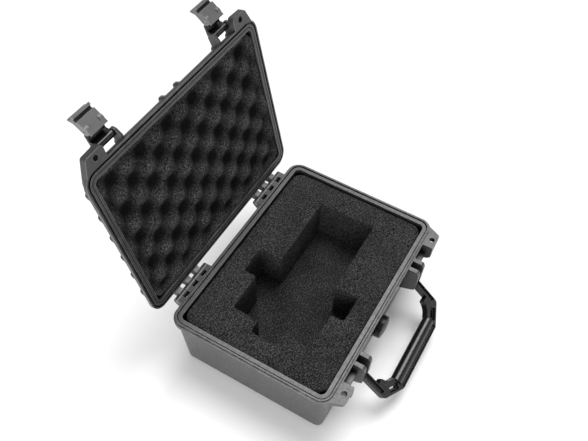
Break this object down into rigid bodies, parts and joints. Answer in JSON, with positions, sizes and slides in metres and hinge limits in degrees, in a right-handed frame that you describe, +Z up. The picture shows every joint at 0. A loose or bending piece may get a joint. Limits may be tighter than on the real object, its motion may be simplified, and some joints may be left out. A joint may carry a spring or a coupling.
{
  "type": "microphone case",
  "caption": "Hard plastic microphone case with an open hinged lid, cut foam, draw latches, padlock ears, a folding handle and a pressure valve.",
  "frame": {"origin": "centre of the base's underside", "axes": "+X along the hinge line to the right as seen from the front, -Y towards the handle and latches, +Z up"},
  "size_m": [0.27, 0.3426, 0.3089],
  "materials": {
    "shell_plastic": "fine-grained polypropylene, dark charcoal",
    "trim_plastic": "smooth black nylon, low sheen",
    "latch_plastic": "smooth grey-black nylon",
    "cap_plastic": "satin grey plastic",
    "plate_plastic": "plain plate, satin",
    "grip_rubber": "soft black overmould",
    "seal_rubber": "black seal rubber",
    "foam": "open-cell polyurethane foam, charcoal",
    "membrane": "vent membrane",
    "pin_steel": "plain steel rod"
  },
  "bodies": {
    "base": {"base_shell": "shell_plastic", "base_foam": "foam", "base_foam_pad": "foam", "valve_body": "trim_plastic", "valve_seal": "seal_rubber", "valve_nut": "trim_plastic", "valve_membrane": "membrane", "hinge_pin_left": "pin_steel", "hinge_pin_right": "pin_steel", "handle_pin_left": "pin_steel", "handle_pin_right": "pin_steel"},
    "lid": {"lid_shell": "shell_plastic", "lid_foam": "foam", "lid_gasket": "seal_rubber", "name_plate": "plate_plastic", "link_pin_left": "pin_steel", "link_pin_right": "pin_steel"},
    "handle": {"handle_frame": "trim_plastic", "handle_grip": "grip_rubber"},
    "valve_cap": {"valve_cap": "cap_plastic"},
    "latch_link_left": {"latch_link_left": "trim_plastic"},
    "latch_lever_left": {"latch_lever_left": "latch_plastic", "lever_pin_left": "pin_steel"},
    "latch_link_right": {"latch_link_right": "trim_plastic"},
    "latch_lever_right": {"latch_lever_right": "latch_plastic", "lever_pin_right": "pin_steel"}
  },
  "joints": [
    {"name": "lid_hinge", "type": "hinge", "parent": "base", "child": "lid", "pos_m": [0, 0.1045, 0.083], "axis": [1, 0, 0], "range_deg": [0, 102]},
    {"name": "latch_link_left_hinge", "type": "hinge", "parent": "lid", "child": "latch_link_left", "pos_m": [-0.0893, 0.16417, 0.28194], "axis": [1, 0, 0], "range_deg": [0, 98]},
    {"name": "latch_lever_left_hinge", "type": "hinge", "parent": "latch_link_left", "child": "latch_lever_left", "pos_m": [-0.0893, 0.17216, 0.29659], "axis": [1, 0, 0], "range_deg": [0, 32]},
    {"name": "latch_link_right_hinge", "type": "hinge", "parent": "lid", "child": "latch_link_right", "pos_m": [0.0893, 0.16417, 0.28194], "axis": [1, 0, 0], "range_deg": [0, 98]},
    {"name": "latch_lever_right_hinge", "type": "hinge", "parent": "latch_link_right", "child": "latch_lever_right", "pos_m": [0.0893, 0.17216, 0.29659], "axis": [1, 0, 0], "range_deg": [0, 32]},
    {"name": "handle_swing", "type": "hinge", "parent": "base", "child": "handle", "pos_m": [0, -0.1015, 0.06], "axis": [-1, 0, 0], "range_deg": [-25, 115]},
    {"name": "valve_turn", "type": "hinge", "parent": "base", "child": "valve_cap", "pos_m": [0, -0.099, 0.045], "axis": [0, -1, 0], "range_deg": [0, 180]}
  ]
}
